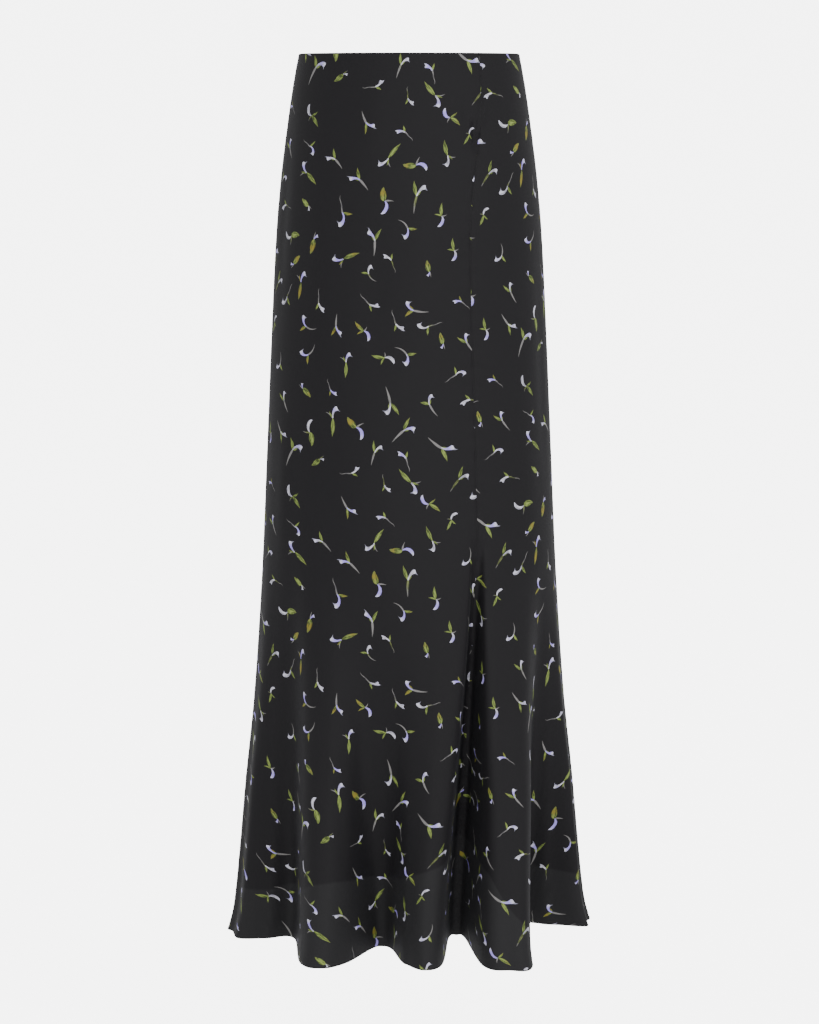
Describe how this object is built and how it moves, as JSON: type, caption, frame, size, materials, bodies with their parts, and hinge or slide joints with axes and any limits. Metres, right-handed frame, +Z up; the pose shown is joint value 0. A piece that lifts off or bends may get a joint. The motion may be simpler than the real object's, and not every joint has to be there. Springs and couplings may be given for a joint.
{
  "type": "midi skirt",
  "caption": "Long flared silk skirt with a small scattered sprig print, lined, plain at the waist edge, hanging in deep soft folds; open at waist and hem.",
  "frame": {"origin": "middle of the waist opening, level with its top edge, where the wearer's waist holds the skirt", "axes": "+Z up, -Y the front of the skirt, +X the wearer's left"},
  "size_m": [0.4063, 0.3052, 0.9728],
  "materials": {
    "front_panel_cloth": "soft matt silk crepe, black with a small scattered sprig print",
    "front_side_panel_cloth": "soft matt silk crepe, black with a small scattered sprig print",
    "back_panel_cloth": "soft matt silk crepe, black with a small scattered sprig print",
    "lining_front_cloth": "plain black lining cloth",
    "lining_back_cloth": "plain black lining cloth"
  },
  "bodies": {
    "root": {"front_panel": "front_panel_cloth", "front_side_panel": "front_side_panel_cloth", "back_panel": "back_panel_cloth", "lining_front": "lining_front_cloth", "lining_back": "lining_back_cloth"}
  },
  "joints": []
}
